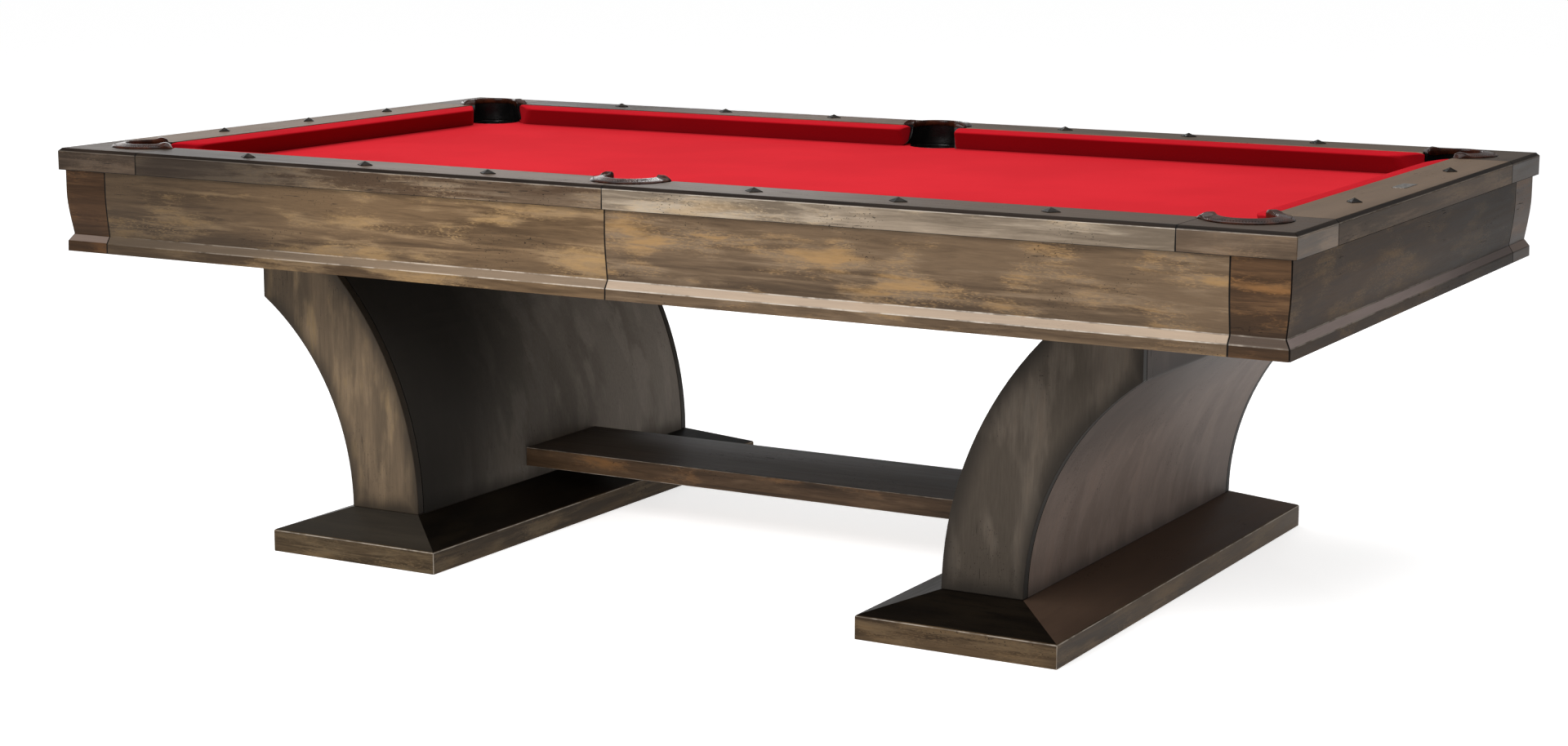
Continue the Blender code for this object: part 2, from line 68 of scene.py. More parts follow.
# Heights and lines read from the CAD solids.
RAIL_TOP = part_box("rail_left_end")[1].z
TABLE_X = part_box("rail_right_end")[1].x
TABLE_Y = -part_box("rail_front_left")[0].y
CLOTH_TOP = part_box("bed_cloth")[1].z
BED_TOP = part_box("slate_middle")[1].z
NOSE_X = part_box("cushion_right_end")[0].x
NOSE_Y = -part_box("cushion_front_left")[1].y
BOOT_LOW, BOOT_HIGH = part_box("pocket_boot_front_middle")
BOOT_RADIUS = (BOOT_HIGH.x - BOOT_LOW.x) / 2
IRON_LOW, IRON_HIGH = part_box("pocket_iron_front_middle")
IRON_TOP = IRON_HIGH.z
COVER_OUTER = (IRON_HIGH.x - IRON_LOW.x) / 2
COVER_INNER = COVER_OUTER - IRON_BAR

# Colours that most finishes share.
BLACK = (0.004, 0.004, 0.004)
SEAM_BLACK = (0.004, 0.0035, 0.003)
# Bare wood, made light enough to serve also as a painted highlight on eased edges.
BARE_WOOD_AND_HIGHLIGHT = (0.62, 0.55, 0.47)


def grey(level):
    return (level, level, level)


def thousandths(colour):
    return tuple(value / 1000 for value in colour)


# ---- paint


class Paint:
    """A node material built round one Principled shader, with short ways to add to it."""

    def __init__(self, name, **fixed):
        self.material = bpy.data.materials.new(name)
        self.material.use_nodes = True
        self.nodes = self.material.node_tree.nodes
        self.links = self.material.node_tree.links
        self.shader = self.nodes["Principled BSDF"]
        for socket, value in fixed.items():
            self.shader.inputs[socket.replace("_", " ")].default_value = value

    def feed(self, socket, value):
        if isinstance(value, bpy.types.NodeSocket):
            self.links.new(value, socket)
        else:
            socket.default_value = value

    def set(self, socket, value):
        self.feed(self.shader.inputs[socket], value)

    def done(self, colour, height, depth, strength, below=None):
        """Gives the material its colour and its relief, and hands it over."""
        self.set("Base Color", colour)
        self.set("Normal", self.bump(height, depth, strength, below))
        return self.material

    def math(self, operation, *values):
        node = self.nodes.new("ShaderNodeMath")
        node.operation = operation
        for socket, value in zip(node.inputs, values):
            self.feed(socket, value)
        return node.outputs[0]

    def times(self, value, factor, *plus):
        """value times factor, plus one more value if there is one."""
        return self.math("MULTIPLY_ADD" if plus else "MULTIPLY", value, factor, *plus)

    def scaled(self, vector, scale, shift):
        node = self.nodes.new("ShaderNodeMapping")
        self.feed(node.inputs["Vector"], vector)
        node.inputs["Scale"].default_value = scale
        node.inputs["Location"].default_value = shift
        return node.outputs[0]

    def texture(self, kind, vector, scale, shift, **fixed):
        vector = self.scaled(vector, scale, shift)
        node = self.nodes.new(kind)
        self.feed(node.inputs["Vector"], vector)
        for socket, value in {"Scale": 1.0, **fixed}.items():
            node.inputs[socket].default_value = value
        return node.outputs

    def noise(self, vector, scale, detail=2.0, roughness=0.5, distortion=0.0, shift=(0, 0, 0)):
        fixed = {"Detail": detail, "Roughness": roughness, "Distortion": distortion}
        return self.texture("ShaderNodeTexNoise", vector, scale, shift, **fixed)[0]

    def cells(self, vector, scale, shift=(0, 0, 0)):
        return self.texture("ShaderNodeTexVoronoi", vector, scale, shift)

    def step(self, value, low, high, first=0.0, last=1.0):
        """A smooth step from first to last as value goes from low to high."""
        node = self.nodes.new("ShaderNodeMapRange")
        node.interpolation_type = "SMOOTHSTEP"
        for socket, number in zip(node.inputs, (value, low, high, first, last)):
            self.feed(socket, number)
        return node.outputs[0]

    def mix(self, share, first, second, blend="MIX"):
        node = self.nodes.new("ShaderNodeMix")
        node.data_type = "RGBA"
        node.blend_type = blend
        for index, value in ((0, share), (6, first), (7, second)):
            if isinstance(value, tuple) and len(value) == 3:
                value = (*value, 1.0)
            self.feed(node.inputs[index], value)
        return node.outputs[2]

    def vary(self, colour, value, low, high):
        """The colour times a tint that runs from low to high with value."""
        return self.mix(1.0, colour, self.mix(value, low, high), "MULTIPLY")

    def kept(self, name):
        """A value that the mesh carries under this name, as a vector."""
        node = self.nodes.new("ShaderNodeAttribute")
        node.attribute_name = name
        return node.outputs["Vector"]

    def part(self, vector, index):
        node = self.nodes.new("ShaderNodeSeparateXYZ")
        self.feed(node.inputs[0], vector)
        return node.outputs[index]

    def place(self):
        return self.nodes.new("ShaderNodeTexCoord").outputs["Object"]

    def facing(self, index):
        node = self.nodes.new("ShaderNodeNewGeometry")
        return self.part(node.outputs["Normal"], index)

    def bump(self, height, distance, strength=1.0, below=None):
        node = self.nodes.new("ShaderNodeBump")
        node.inputs["Strength"].default_value = strength
        node.inputs["Distance"].default_value = distance
        self.feed(node.inputs["Height"], height)
        if below is not None:
            self.feed(node.inputs["Normal"], below)
        return node.outputs[0]


def wood_marks(paint, grain, nicks):
    """1 in the cracks, pits and dents, which come in patches, and 0 between them."""
    crack = paint.noise(grain, (19, 260, 260), 2, 0.5, 0.4, shift=(1, 5, 3))
    rare = paint.step(paint.noise(grain, (5, 12, 12), 1, shift=(7, 7, 1)), 0.56, 0.66)
    cracked = paint.times(paint.step(crack, 0.66, 0.72), rare)
    pit = paint.noise(grain, (230, 430, 430), 1, shift=(2, 3, 5))
    pitted = paint.times(paint.step(pit, 0.69, 0.73), paint.step(rare, 0.0, 0.5))
    dent = paint.cells(grain, (6, 11, 11), (2, 3, 5))
    chosen = paint.step(paint.part(dent["Color"], 0), 0.84, 0.86)
    ragged = paint.times(crack, 0.1, dent["Distance"])
    dented = paint.times(paint.step(ragged, 0.05, 0.07, 0.7 * nicks, 0), chosen)
    small = paint.math("MAXIMUM", cracked, pitted)
    return paint.math("MAXIMUM", paint.times(small, nicks), dented)


def wood(name, tones, gilt=0.6, wear_and_highlight=0.8, shaded=0.35, roughness=0.42, nicks=1.0, gloss=0.25, line=2.6,
         streaky=0.5, top=None, flank=None, ledge=None, rim=None, shade_fade=None):
    """Stained hardwood, its colours in thousandths. tones are the dark, middle, light and golden ones,
    gilt is how much golden streaking shows, wear_and_highlight how bright the eased edges are (bare wood
    and a painted highlight), shaded how far the stain darkens towards them, line the width in millimetres
    of the dark line at a seam, and streaky how much of the figure is fine streaks. top tints faces that
    look up, flank those of them that lean towards +X, ledge faces that slope up, and rim faces turned away
    from Y: painted light and shade set by which way a face looks. shade_fade is painted shade that fades
    along a direction: (direction, dark end, clear end, depth)."""
    dark, mid, light, gold = map(thousandths, tones)
    paint = Paint(name, Specular_IOR_Level=gloss)
    grain = paint.kept("grain")
    near = paint.kept("near")
    wear_and_highlight_edge = paint.part(near, 0)
    seam = paint.part(near, 1)
    broad = paint.noise(grain, (1.6, 10, 10), 3)
    streak = paint.noise(grain, (5, 75, 75), 5, 0.68, 0.6)
    fibre = paint.noise(grain, (34, 430, 430), 3, 0.6)
    fleck = paint.noise(grain, (120, 480, 480), 2, 0.6, shift=(4, 2, 8))
    blotch = paint.noise(grain, (6, 19, 19), 3, shift=(3, 1, 7))
    flame = paint.noise(grain, (8, 48, 48), 4, 0.65, 0.5, shift=(9, 4, 2))

    body = paint.times(broad, 1 - streaky, paint.times(streak, streaky))
    colour = paint.mix(paint.step(body, 0.4, 0.57), dark, mid)
    lit = paint.times(streak, streaky, paint.times(blotch, 1 - streaky))
    colour = paint.mix(paint.step(lit, 0.48, 0.62, 0, 0.85), colour, light)
    golden = paint.times(paint.step(flame, 0.44, 0.62), paint.step(blotch, 0.5, 0.66, 0, gilt))
    colour = paint.mix(golden, colour, gold)
    colour = paint.vary(colour, fibre, grey(0.74), grey(1.24))
    flecked = paint.step(fleck, 0.5, 0.64, 0, 1.3 * streaky)
    pale = paint.times(flecked, paint.step(blotch, 0.46, 0.6))
    colour = paint.mix(pale, colour, paint.mix(0.5, light, gold))

    mottle = paint.mix(body, grey(0.55), grey(1.45))
    # Painted light and shade: upward faces (and the +X-leaning ones) take colours of how lit they look.
    if top is not None:
        top = thousandths(top)
        if flank is not None:
            top = paint.mix(paint.step(paint.facing(0), 0.1, 0.2), top, thousandths(flank))
        upward = paint.step(paint.facing(2), 0.8, 0.9, 0, 0.92)
        colour = paint.mix(upward, colour, paint.mix(1.0, top, mottle, "MULTIPLY"))
    # Painted shade: faces turned side-on to Y are darkened to the rim colour.
    if rim is not None:
        across = paint.math("ABSOLUTE", paint.facing(1))
        colour = paint.mix(paint.step(across, 0.3, 0.75, 0.96, 0), colour, thousandths(rim))
    marks = wood_marks(paint, grain, nicks)
    colour = paint.mix(paint.times(marks, 0.85), colour, (0.006, 0.005, 0.004))

    wander = paint.times(blotch, 0.024, wear_and_highlight_edge)
    colour = paint.mix(paint.step(wander, 0.01, 0.05, shaded, 0), colour, paint.mix(0.35, BLACK, dark))
    # Painted light: faces that slope upwards, as on the aprons' foot moulding, are lightened.
    if ledge is not None:
        ledge = paint.mix(1.0, thousandths(ledge), mottle, "MULTIPLY")
        colour = paint.mix(paint.step(paint.facing(2), 0.3, 0.5, 0, 0.85), colour, ledge)
    # Bright line along the eased edges: bare wood from wear and a painted highlight.
    rubbed_and_lit = paint.times(flame, 0.0016, wear_and_highlight_edge)
    share = paint.step(rubbed_and_lit, 0.0015, 0.0024, wear_and_highlight, 0)
    broken = paint.noise(grain, (26, 9, 9), 3, 0.6, shift=(5, 3, 6))
    share = paint.times(share, paint.step(broken, 0.36, 0.56, 0.3, 1))
    # Painted shade that deepens along a direction and dims the edge highlight with it.
    if shade_fade is not None:
        along, dark_end, clear_end, depth = shade_fade
        place = paint.nodes.new("ShaderNodeVectorMath")
        place.operation = "DOT_PRODUCT"
        paint.feed(place.inputs[0], paint.place())
        place.inputs[1].default_value = along
        clear = paint.step(place.outputs["Value"], dark_end, clear_end)
        colour = paint.mix(paint.step(clear, 0, 1, depth, 0), colour, paint.mix(0.1, BLACK, dark))
        share = paint.times(share, clear)
    colour = paint.mix(share, colour, paint.mix(0.75, light, BARE_WOOD_AND_HIGHLIGHT))
    dark_line = paint.step(seam, line * 0.3 * MM, line * 0.62 * MM, 0.97, 0)
    colour = paint.mix(dark_line, colour, SEAM_BLACK)

    rough = paint.times(streak, 0.48 * streaky, roughness - 0.24 * streaky)
    rough = paint.times(dark_line, 0.4, rough)
    paint.set("Roughness", paint.times(marks, 0.3, rough))
    relief = paint.times(fibre, 0.5 * streaky, paint.times(streak, streaky))
    relief = paint.times(marks, -1.6, relief)
    return paint.done(colour, relief, 0.45 * MM, 0.6)


def cloth(name, base, deep, under=0.0):
    """Worsted billiard cloth: a fine plain weave under a short nap. under is how much painted shade
    darkens the cloth as it turns from facing up to facing down."""
    paint = Paint(name, Roughness=0.95, Specular_IOR_Level=0.02, Sheen_Weight=0.12, Sheen_Roughness=0.5,
                  Sheen_Tint=(1.0, 0.06, 0.08, 1.0))
    place = paint.place()
    cloud = paint.noise(place, (3.2, 3.2, 3.2), 3)
    nap = paint.noise(place, (420, 420, 420), 3, 0.65)
    colour = paint.mix(paint.step(cloud, 0.35, 0.68), deep, base)
    colour = paint.vary(colour, nap, (0.9, 0.88, 0.88), (1.08, 1.1, 1.1))
    # Painted shade: the cloth darkens as its faces turn downwards, as under a cushion's nose.
    colour = paint.mix(paint.step(paint.facing(2), -0.5, 0.85, under, 0), colour, (0.05, 0.0, 0.001))
    turn = tau / (1.3 * MM)
    warp = paint.math("SINE", paint.times(paint.part(place, 0), turn))
    weft = paint.math("SINE", paint.times(paint.part(place, 1), turn))
    weave = paint.times(paint.times(warp, weft), 0.2, nap)
    return paint.done(colour, weave, 0.12 * MM, 0.35)


def leather(name, dark, light, roughness, coat):
    """Waxed leather: fine pebbled grain, larger creases, and colour that thins on high spots."""
    paint = Paint(name, Coat_Weight=coat, Coat_Roughness=0.16, Specular_IOR_Level=0.13)
    place = paint.place()
    cloud = paint.noise(place, (38, 38, 38), 4, 0.6)
    pebble = paint.cells(place, (700, 700, 700))
    crease = paint.noise(place, (120, 120, 260), 4, 0.6, 0.6)
    colour = paint.mix(paint.step(cloud, 0.3, 0.8), dark, light)
    colour = paint.mix(paint.step(crease, 0.3, 0.42, 0.5, 0), colour, (0.004, 0.003, 0.003))
    paint.set("Roughness", paint.step(cloud, 0.3, 0.7, roughness, roughness + 0.16))
    fine = paint.bump(pebble["Distance"], 0.12 * MM, 0.5)
    return paint.done(colour, crease, 0.7 * MM, 0.5, fine)


def metal(name, base, roughness, tarnish):
    """Cast or turned metal with a tarnished skin and fine scratches."""
    paint = Paint(name, Metallic=1.0)
    place = paint.place()
    cloud = paint.noise(place, (160, 160, 160), 4, 0.6)
    scratch = paint.noise(place, (90, 2200, 900), 2)
    colour = paint.mix(paint.step(cloud, 0.35, 0.7), tarnish, base)
    paint.set("Roughness", paint.times(scratch, 0.25, roughness - 0.1))
    return paint.done(colour, scratch, 0.05 * MM, 0.4)


def plain_wood(name, dark, light):
    """Unfinished softwood boards of the hidden frame, with the grain along X."""
    paint = Paint(name, Roughness=0.78, Specular_IOR_Level=0.3)
    place = paint.place()
    ring = paint.noise(place, (1.5, 40, 40), 4, 0.6, 1.2)
    fibre = paint.noise(place, (20, 600, 600), 2)
    colour = paint.mix(paint.step(ring, 0.35, 0.65), light, dark)
    knot = paint.noise(place, (5, 9, 9), 1)
    colour = paint.mix(paint.step(knot, 0.68, 0.74, 0, 0.7), colour, (0.12, 0.06, 0.03))
    return paint.done(paint.vary(colour, fibre, grey(0.8), grey(1.15)), fibre, 0.3 * MM, 0.5)


def stone(name):
    """Honed slate: even grey-blue with faint bedding clouds and saw marks."""
    paint = Paint(name, Roughness=0.6)
    place = paint.place()
    cloud = paint.noise(place, (5, 9, 30), 5, 0.6)
    speck = paint.noise(place, (300, 300, 300), 2)
    saw = paint.noise(place, (8, 260, 260), 2)
    colour = paint.mix(paint.step(cloud, 0.35, 0.65), (0.045, 0.05, 0.058), (0.095, 0.1, 0.11))
    return paint.done(paint.vary(colour, speck, grey(0.85), grey(1.15)), saw, 0.2 * MM, 0.4)


def edge_wood(name, low, high):
    """The dark chamfer round the top of the rails: darker stain with painted shade on its tilted face."""
    paint = Paint(name, Specular_IOR_Level=0.08, Roughness=0.5)
    near = paint.kept("near")
    streak = paint.noise(paint.kept("grain"), (5, 90, 90), 4, 0.6)
    colour = paint.mix(paint.step(streak, 0.35, 0.7), low, high)
    # A light line along its edges: bare wood and a painted highlight.
    rubbed_and_lit = paint.times(streak, 0.002, paint.part(near, 0))
    colour = paint.mix(paint.step(rubbed_and_lit, 0.0015, 0.0026, 0.35, 0), colour, (0.2, 0.17, 0.14))
    colour = paint.mix(paint.step(paint.part(near, 1), 0.0012, 0.003, 0.96, 0), colour, SEAM_BLACK)
    return paint.done(colour, streak, 0.3 * MM, 0.5)


# How each group of boards is stained, painted light and shade included. Colours are in thousandths.
CHEEK = {"wear_and_highlight": 0.0, "shaded": 0.92, "roughness": 0.45}
PANEL = {"wear_and_highlight": 0.0, "shaded": 0.7, "roughness": 0.5, "streaky": 0.1}
FOOT = {"gilt": 0.4, "wear_and_highlight": 0.6, "shaded": 0.2, "gloss": 0.06}
WOODS = {
    # The left rail and the left apron take painted shade towards the table's left end.
    "rail_left_brown": dict(
        tones=((60, 35, 19), (112, 75, 47), (185, 135, 90), (220, 140, 70)), gilt=0.3, wear_and_highlight=0.45,
        shaded=0.15, gloss=0.12, line=2.0, top=(90, 58, 38), shade_fade=((1, 0, 0), -1.0, -0.3, 0.78),
    ),
    "rail_right_brown": dict(
        tones=((120, 90, 62), (220, 172, 125), (330, 270, 200), (340, 230, 120)), gilt=0.5, wear_and_highlight=0.65,
        shaded=0.15, gloss=0.18, line=2.0, top=(60, 38, 24),
    ),
    # End rail: darker than the front rails (painted shade), with a lighter top (painted light).
    "end_rail_brown": dict(
        tones=((40, 25, 14), (70, 46, 30), (105, 72, 48), (120, 75, 35)), gilt=0.3, wear_and_highlight=0.3, shaded=0.25,
        gloss=0.03, line=2.0, top=(155, 110, 77),
    ),
    "corner_block_dark": dict(
        tones=((20, 12.5, 7.5), (37, 24, 15.5), (68, 47, 32), (90, 55, 30)), gilt=0.3, wear_and_highlight=0.12,
        shaded=0.25, gloss=0.12, line=2.0, top=(55, 38, 26),
    ),
    "corner_block_brown": dict(
        tones=((55, 36, 22), (95, 62, 38), (160, 112, 74), (180, 105, 50)), gilt=0.5, wear_and_highlight=0.4, shaded=0.25,
        gloss=0.15, line=2.0, top=(55, 36, 24),
    ),
    "apron_left_brown": dict(
        tones=((62, 36, 17), (126, 77, 39), (220, 145, 78), (290, 175, 70)), gilt=0.65, wear_and_highlight=0.7,
        shaded=0.2, gloss=0.12, line=3.4, ledge=(205, 149, 102), shade_fade=((1, 0, 0), -1.35, -0.15, 0.64),
    ),
    "apron_right_brown": dict(
        tones=((55, 33, 17), (110, 70, 39), (170, 117, 72), (290, 165, 60)), gilt=0.7, wear_and_highlight=0.8, shaded=0.2,
        gloss=0.15, line=3.4, ledge=(420, 320, 235),
    ),
    "apron_corner_dark": dict(
        tones=((22, 10.5, 4.5), (42, 20.5, 9), (62, 33, 15.5), (120, 50, 15)), gilt=0.5, wear_and_highlight=0.0,
        gloss=0.08, line=3.4, ledge=(160, 120, 100),
    ),
    "apron_corner_brown": dict(
        tones=((36, 18, 7.5), (72, 36, 15.5), (115, 61, 27), (210, 95, 28)), wear_and_highlight=0.5, gloss=0.12, line=3.4,
        ledge=(90, 62, 45),
    ),
    # End apron: darker than the front aprons, and darker still to the rear: painted shade.
    "apron_end_brown": dict(
        tones=((30, 18, 10.5), (48, 29.5, 17.5), (66, 42, 25.5), (150, 88, 30)), gilt=0.3, wear_and_highlight=0.3,
        shaded=0.25, gloss=0.02, line=3.4, ledge=(300, 240, 220), shade_fade=((0, -1, 0), -0.6, 0.45, 0.6),
    ),
    # The cheeks' side faces go near black: painted shade.
    "left_cheek_brown": dict(
        tones=((65, 46, 29), (112, 78, 48), (148, 104, 64), (190, 125, 50)), gilt=0.35, nicks=0.5,
        gloss=0.1, streaky=0.2, rim=(4, 3.5, 3), **CHEEK,
    ),
    "right_cheek_brown": dict(
        tones=((49, 39, 30), (66, 53, 42), (82, 67, 53), (90, 60, 40)), gilt=0.2, nicks=0.7, gloss=0.06,
        streaky=0.15, rim=(3, 3, 3), **CHEEK,
    ),
    # The leg panels' light tones go near black under the table top: painted shade.
    "leg_inner_dark": dict(
        tones=((160, 138, 115), (195, 169, 143), (230, 200, 170), (160, 133, 106)), gilt=0.15, nicks=0.5,
        gloss=0.02, shade_fade=((0, 1, -0.6), -0.62, 0.1, 0.975), **PANEL,
    ),
    "leg_outer_dark": dict(
        tones=((95, 65, 50), (114, 80, 63), (133, 95, 76), (115, 68, 45)), gilt=0.25, nicks=0.7, gloss=0.09,
        shade_fade=((0, 0.2, -1), -0.56, -0.2, 0.68), **PANEL,
    ),
    # Painted light and shade on the feet: near black on the left foot's inner slope and the right foot's
    # top.
    "foot_left_brown": dict(
        tones=((33, 22, 12), (68, 45, 24), (100, 71, 40), (120, 75, 35)), top=(30, 26, 21), flank=(1, 1, 1),
        **FOOT,
    ),
    "foot_right_brown": dict(
        tones=((35, 22, 12), (75, 48, 26), (110, 75, 42), (130, 78, 36)), top=(1.5, 1.5, 1.5),
        flank=(85, 53, 37), **FOOT,
    ),
    # The stretcher's darker top is painted shade under the table.
    "stretcher_brown": dict(
        tones=((30, 18, 10), (78, 45, 24), (125, 76, 43), (220, 105, 38)), gilt=0.85, wear_and_highlight=0.5, shaded=0.2,
        gloss=0.12, top=(30, 21, 16),
    ),
}


# ---- mesh helpers


def flatten(shape):
    """Joins split corners, and makes each flat face whole."""
    bmesh.ops.remove_doubles(shape, verts=shape.verts, dist=WELD)
    bmesh.ops.dissolve_limit(shape, angle_limit=FLAT, verts=shape.verts, edges=shape.edges)


def joined(node):
    """A bmesh of a CAD node, with its split corners joined and its flat faces whole."""
    shape = bmesh.new()
    shape.from_mesh(NODES[node].data)
    flatten(shape)
    bmesh.ops.recalc_face_normals(shape, faces=shape.faces)
    return shape


def round_over(shape, edges, width, profile=0.5, slide=False):
    bmesh.ops.bevel(
        shape, geom=edges, offset=width, segments=2, profile=profile, affect="EDGES", clamp_overlap=True,
        loop_slide=slide,
    )


def skin(shape, rows):
    """Faces between each row of points and the next. A row goes round, or is a single point."""
    for row, after in zip(rows, rows[1:]):
        count = max(len(row), len(after))
        for i in range(count):
            j = (i + 1) % count
            corners = (row[i % len(row)], row[j % len(row)], after[j % len(after)], after[i % len(after)])
            shape.faces.new(tuple(dict.fromkeys(corners)))
    bmesh.ops.recalc_face_normals(shape, faces=shape.faces)


def swept(rings):
    """A closed solid through rings of the same number of points, capped at both ends."""
    shape = bmesh.new()
    rows = [[shape.verts.new(point) for point in ring] for ring in rings]
    shape.faces.new(rows[0])
    shape.faces.new(rows[-1])
    skin(shape, rows)
    return shape


def stand(name, data):
    """Puts an object with this data into the scene."""
    obj = bpy.data.objects.new(name, data)
    bpy.context.scene.collection.objects.link(obj)
    return obj


def is_sharp(edge, least=SHARP):
    return len(edge.link_faces) == 2 and edge.calc_face_angle(0.0) > least


def smooth_groups(shape):
    """Sets of faces that run into each other with no sharp edge between them."""
    groups, seen = [], set()
    for start in shape.faces:
        if start in seen:
            continue
        seen.add(start)
        group, waiting = [], [start]
        while waiting:
            face = waiting.pop()
            group.append(face)
            for edge in face.edges:
                if is_sharp(edge):
                    continue
                for other in edge.link_faces:
                    if other not in seen:
                        seen.add(other)
                        waiting.append(other)
        groups.append(group)
    return groups


def ring_in(shape, widths):
    """Draws rings of narrow faces just inside the sharp edges of every face that is wide enough."""
    for group in smooth_groups(shape):
        rim = {edge for face in group for edge in face.edges if is_sharp(edge)}
        around = sum(edge.calc_length() for edge in rim)
        area = sum(face.calc_area() for face in group)
        for width in widths:
            if not rim or 2 * area / around < 3 * width:
                break
            bmesh.ops.inset_region(
                shape, faces=group, thickness=width, depth=0, use_boundary=True, use_even_offset=False
            )
            area -= around * width


def ends_of(edges):
    ends = [[tuple(vert.co) for vert in edge.verts] for edge in edges]
    return np.array(ends).reshape(-1, 2, 3)


def distance_to(points, segments, far=0.2):
    """How far each point is from the nearest of the straight segments, up to far."""
    nearest = np.full(len(points), far)
    for first, last in segments:
        along = last - first
        share = np.clip((points - first) @ along / max(along @ along, 1e-12), 0, 1)
        away = points - first - share[:, None] * along
        nearest = np.minimum(nearest, np.linalg.norm(away, axis=1))
    return nearest


def slice_up(shape, step):
    """Cuts the faces on a grid in X, Y and Z, about a step apart."""
    points = np.array([tuple(vert.co) for vert in shape.verts])
    low, high = points.min(0), points.max(0)
    for axis in range(3):
        count = int((high[axis] - low[axis]) / step)
        normal = Vector([float(axis == i) for i in range(3)])
        for i in range(1, count):
            at = normal * float(low[axis] + (high[axis] - low[axis]) * i / count)
            everything = shape.verts[:] + shape.edges[:] + shape.faces[:]
            bmesh.ops.bisect_plane(shape, geom=everything, dist=0.01 * MM, plane_co=at, plane_no=normal)


def grain_along(axis):
    """Grain along one axis all over the board."""
    order = {0: (0, 1, 2), 1: (1, 0, 2), 2: (2, 1, 0)}[axis]
    return lambda points, normals: points[:, order]


def grain_round_corner(points, normals):
    """A corner block is faced all round: its grain runs along each face."""
    turned = np.abs(normals[:, 0]) > np.abs(normals[:, 1]) + 0.05
    return np.where(turned[:, None], points[:, (1, 0, 2)], points)


def seed_of(name):
    """A number that differs from board to board, so that no two show the same figure."""
    return sum((index + 3) * ord(letter) for index, letter in enumerate(name)) % 997


def carry(mesh, name, domain, values):
    layer = mesh.attributes.new(name, "FLOAT_VECTOR", domain)
    layer.data.foreach_set("vector", np.asarray(values, np.float32).ravel())


def numbers_from(items, name, width=1, kind=float):
    """One named property of every item, as rows of width numbers."""
    values = np.empty(len(items) * width, kind)
    items.foreach_get(name, values)
    return values.reshape(-1, width) if width > 1 else values


def add_values(mesh, name, grain, wear_and_highlight, seams):
    """Stores the wood shader's values on the mesh."""
    points = numbers_from(mesh.vertices, "co", 3)
    near = np.zeros((len(points), 3))
    near[:, 0] = distance_to(points, wear_and_highlight)
    near[:, 1] = distance_to(points, seams)
    carry(mesh, "near", "POINT", near)
    corners = numbers_from(mesh.loops, "vertex_index", kind=np.int32)
    totals = numbers_from(mesh.polygons, "loop_total", kind=np.int32)
    normals = np.repeat(numbers_from(mesh.polygons, "normal", 3), totals, axis=0)
    seed = seed_of(name)
    offset = np.array([0.37 * (seed % 89), 0.11 * (seed % 53), 0.07 * (seed % 31)])
    carry(mesh, "grain", "CORNER", grain(points[corners], normals) + offset)


def place(name, shape, materials, slot, nodes=(), smooth=radians(40), weighted=False):
    """Turns a bmesh into a piece that rides on the table and stands for the CAD nodes named."""
    mesh = bpy.data.meshes.new(name)
    shape.to_mesh(mesh)
    shape.free()
    for material in materials:
        mesh.materials.append(material)
    mesh.shade_smooth()
    mesh.set_sharp_from_angle(angle=smooth)
    obj = stand(name, mesh)
    if weighted:
        normals = obj.modifiers.new("weighted", "WEIGHTED_NORMAL")
        normals.keep_sharp = True
    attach(obj, BODY)
    if nodes:
        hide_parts(*nodes)
    return obj


def in_plane(edge, planes):
    return any(all(abs(vert.co[axis] - at) < MM for vert in edge.verts) for axis, at in planes)


def anywhere(point):
    return True


def nowhere(point):
    return False


def board(node, paints, slot, grain, seams=(), dark=nowhere, wear_and_highlight=anywhere, ease=1.6 * MM, step=0.03,
          eased=SHARP, smooth=radians(40), rings=(RIM, 3 * RIM), prepare=None, trim_face=nowhere):
    """A wooden piece from a CAD node. seams are (axis, value) planes where it meets its neighbours. dark
    picks the edges that carry a dark line, and wear_and_highlight those that carry a bright line of bare
    wood and painted highlight. eased is the angle from which an edge is rounded over, and smooth the
    angle up to which faces shade into each other. rings are the widths drawn inside its edges, prepare
    changes its shape first, and trim_face picks the faces that take the second paint."""
    shape = joined(node)
    if prepare is not None:
        prepare(shape)
    for axis, at in seams:
        for vert in shape.verts:
            if abs(vert.co[axis] - at) < MM:
                vert.co[axis] = at
    rubbed_and_lit, lined = [], []
    for edge in filter(is_sharp, shape.edges):
        middle = (edge.verts[0].co + edge.verts[1].co) / 2
        if in_plane(edge, seams) or dark(middle):
            lined.append(edge)
        elif wear_and_highlight(middle):
            rubbed_and_lit.append(edge)
    rubbed_and_lit_ends, lined_ends = ends_of(rubbed_and_lit), ends_of(lined)
    ring_in(shape, rings)
    edges = [edge for edge in shape.edges if is_sharp(edge, eased)]
    for width, at_seam in ((0.6 * ease, True), (ease, False)):
        picked = [edge for edge in edges if edge.is_valid and in_plane(edge, seams) == at_seam]
        if picked:
            round_over(shape, picked, width, 0.6, slide=True)
    slice_up(shape, step)
    for face in filter(trim_face, shape.faces):
        face.material_index = 1
    name = "oak_" + node
    obj = place(name, shape, paints, slot, [node], smooth, weighted=True)
    add_values(obj.data, name, grain, rubbed_and_lit_ends, lined_ends)


# ---- wood


def on_chamfer(face):
    return face.calc_center_median().z > RAIL_TOP - CHAMFER_ZONE and 0.5 < face.normal.z < 0.9


def under_chamfer(point):
    """The bright line just below the rail's dark chamfer: wear and a painted highlight."""
    outermost = abs(point.x) > TABLE_X - MM or abs(point.y) > TABLE_Y - MM
    return outermost and RAIL_TOP - CHAMFER_ZONE < point.z < RAIL_TOP - 3 * MM


